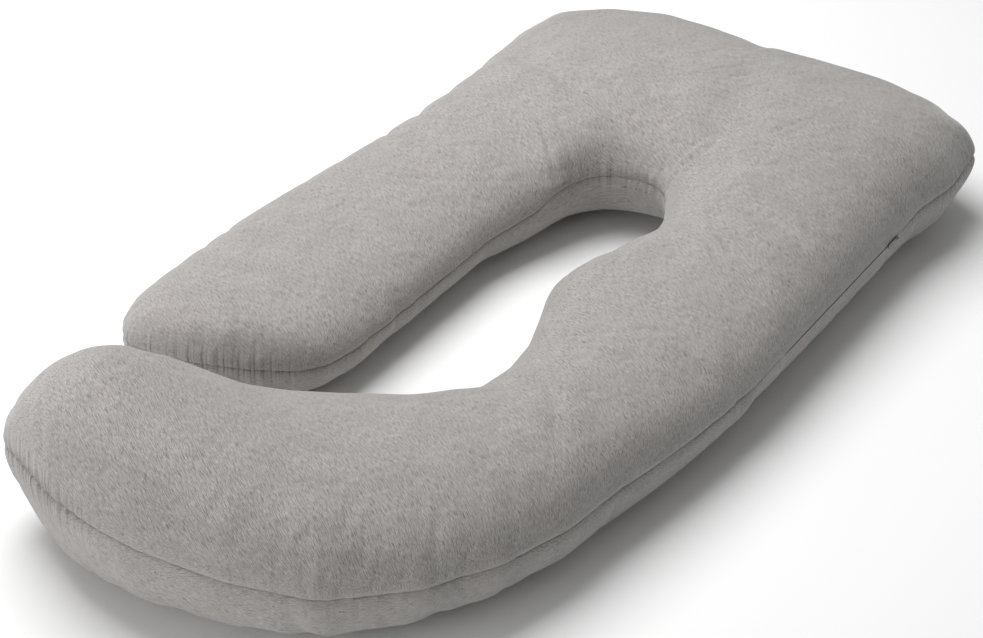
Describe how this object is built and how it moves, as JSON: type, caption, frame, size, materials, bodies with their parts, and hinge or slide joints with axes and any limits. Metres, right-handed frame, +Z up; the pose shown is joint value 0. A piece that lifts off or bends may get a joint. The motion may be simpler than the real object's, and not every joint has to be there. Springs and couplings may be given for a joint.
{
  "type": "nursing pillow",
  "caption": "G-shaped nursing and maternity body pillow: two long arms joined at the head end, one curling into a hook, in a zipped jersey cover.",
  "frame": {"origin": "on the floor, under the middle of the pillow's bounding box", "axes": "+X from the free arm to the long arm, +Y from the hook to the head bar, +Z up"},
  "size_m": [0.7875, 1.4462, 0.2539],
  "materials": {
    "heather_jersey": "soft brushed melange jersey",
    "grey_thread": "sewing thread",
    "liner_cotton": "plain woven",
    "white_thread": "sewing thread",
    "polyester_fibre": "loose hollow fibre",
    "zip_tape_weave": "woven tape",
    "zip_coil_nylon": "satin",
    "painted_zinc": "satin paint",
    "label_satin": "satin ribbon"
  },
  "bodies": {
    "pillow": {"care_label": "label_satin", "cover_bottom_panel": "heather_jersey", "cover_seam_thread": "grey_thread", "cover_top_panel": "heather_jersey", "filling_head_bar": "polyester_fibre", "filling_hook": "polyester_fibre", "filling_left_arm": "polyester_fibre", "filling_right_arm": "polyester_fibre", "liner_bottom_panel": "liner_cotton", "liner_seam_thread": "white_thread", "liner_top_panel": "liner_cotton", "zip_bottom_stop": "painted_zinc", "zip_coil_lower": "zip_coil_nylon", "zip_coil_upper": "zip_coil_nylon", "zip_stitching_lower": "grey_thread", "zip_stitching_upper": "grey_thread", "zip_tape_lower": "zip_tape_weave", "zip_tape_upper": "zip_tape_weave", "zip_top_stop_lower": "painted_zinc", "zip_top_stop_upper": "painted_zinc"},
    "slider": {"zip_slider": "painted_zinc"},
    "pull_tab": {"zip_pull_tab": "painted_zinc"}
  },
  "joints": [
    {"name": "zip_slide", "type": "slide", "parent": "pillow", "child": "slider", "axis": [-0.1391, 0.9903, 0], "range_m": [-0.3024, 0]},
    {"name": "pull_tab_hinge", "type": "hinge", "parent": "slider", "child": "pull_tab", "pos_m": [0.33273, 0.4305, 0.08263], "axis": [0, 0, 1], "range_deg": [0, 170]}
  ]
}
